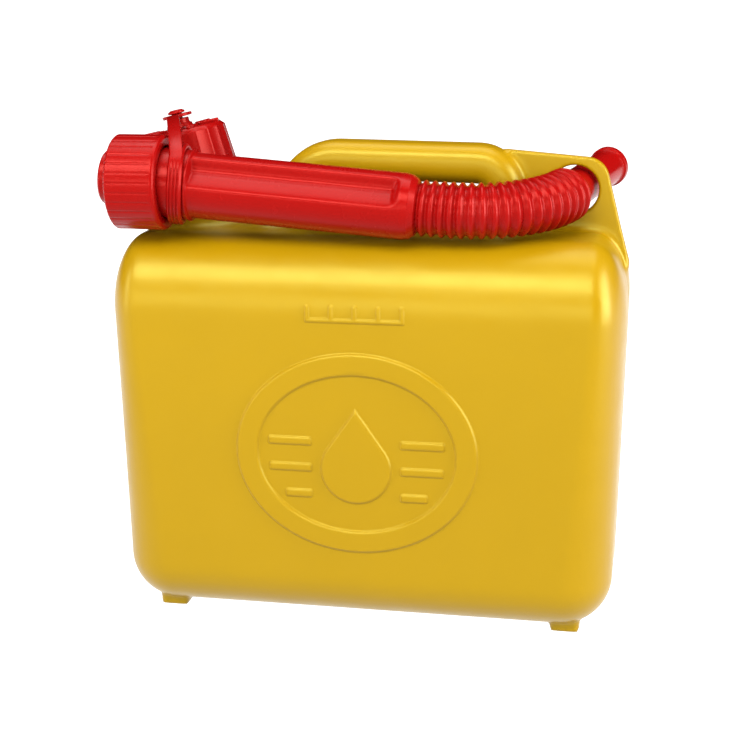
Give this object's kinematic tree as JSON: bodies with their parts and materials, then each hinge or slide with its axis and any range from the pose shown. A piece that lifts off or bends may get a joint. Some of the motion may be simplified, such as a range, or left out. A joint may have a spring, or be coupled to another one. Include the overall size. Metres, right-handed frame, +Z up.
{
  "type": "fuel canister",
  "caption": "Blow-moulded plastic fuel canister with a hollow grip, slanted neck with a tethered screw cap, and a flexible pouring spout stored across its top.",
  "frame": {"origin": "on the ground, at the middle of the whole object's footprint", "axes": "+X along the can towards the stored nozzle, +Y to the back, +Z up"},
  "size_m": [0.2653, 0.1264, 0.2644],
  "materials": {
    "yellow_polyethylene": "satin, faintly waxy",
    "red_polyethylene": "semi-gloss",
    "seal_rubber": "matt"
  },
  "bodies": {
    "can": {"can_body": "yellow_polyethylene", "nozzle_holder": "yellow_polyethylene"},
    "cap_core": {"cap_seal": "seal_rubber"},
    "cap": {"filler_cap": "red_polyethylene"},
    "nozzle_end": {"nozzle": "red_polyethylene", "bellows_6": "red_polyethylene"},
    "link_4": {"bellows_5": "red_polyethylene"},
    "link_3": {"bellows_4": "red_polyethylene"},
    "link_2": {"bellows_3": "red_polyethylene"},
    "link_1": {"bellows_2": "red_polyethylene"},
    "spout": {"spout_tube": "red_polyethylene", "spout_seal": "seal_rubber", "tether_strap": "red_polyethylene", "bellows_1": "red_polyethylene"},
    "nut": {"union_nut": "red_polyethylene"}
  },
  "joints": [
    {"name": "cap_rise", "type": "slide", "parent": "can", "child": "cap_core", "axis": [-0.225, 0, 0.9744], "range_m": [0, 0.0035]},
    {"name": "cap_turn", "type": "hinge", "parent": "cap_core", "child": "cap", "pos_m": [-0.10186, 0.01125, 0.2301], "axis": [-0.225, 0, 0.9744], "range_deg": [0, 360]},
    {"name": "spout_pull", "type": "slide", "parent": "can", "child": "nozzle_end", "axis": [-0.3387, -0.9306, -0.1386], "range_m": [0, 0.06], "deforming": ["tether_strap"]},
    {"name": "bend_5", "type": "hinge", "parent": "nozzle_end", "child": "link_4", "pos_m": [0.09809, -0.01086, 0.22382], "axis": [0, 0, 1], "range_deg": [0, 14], "deforming": ["bellows_6", "bellows_5"]},
    {"name": "bend_4", "type": "hinge", "parent": "link_4", "child": "link_3", "pos_m": [0.091, -0.02136, 0.22239], "axis": [0, 0, 1], "range_deg": [0, 14], "deforming": ["bellows_5", "bellows_4"]},
    {"name": "bend_3", "type": "hinge", "parent": "link_3", "child": "link_2", "pos_m": [0.08158, -0.02985, 0.22133], "axis": [0, 0, 1], "range_deg": [0, 14], "deforming": ["bellows_4", "bellows_3"]},
    {"name": "bend_2", "type": "hinge", "parent": "link_2", "child": "link_1", "pos_m": [0.07039, -0.0358, 0.22067], "axis": [0, 0, 1], "range_deg": [0, 14], "deforming": ["bellows_3", "bellows_2"]},
    {"name": "bend_1", "type": "hinge", "parent": "link_1", "child": "spout", "pos_m": [0.0581, -0.03886, 0.22044], "axis": [0, 0, 1], "range_deg": [0, 14], "deforming": ["bellows_2", "bellows_1", "tether_strap"]},
    {"name": "nut_spin", "type": "hinge", "parent": "spout", "child": "nut", "pos_m": [-0.10024, -0.03925, 0.23195], "axis": [1, 0, 0], "continuous": true}
  ],
  "couplings": [
    {"joint": "cap_rise", "follows": "cap_turn", "m_per_rad": 0.00055704},
    {"joint": "bend_4", "follows": "bend_5", "ratio": 1},
    {"joint": "bend_3", "follows": "bend_5", "ratio": 1},
    {"joint": "bend_2", "follows": "bend_5", "ratio": 1},
    {"joint": "bend_1", "follows": "bend_5", "ratio": 1}
  ]
}
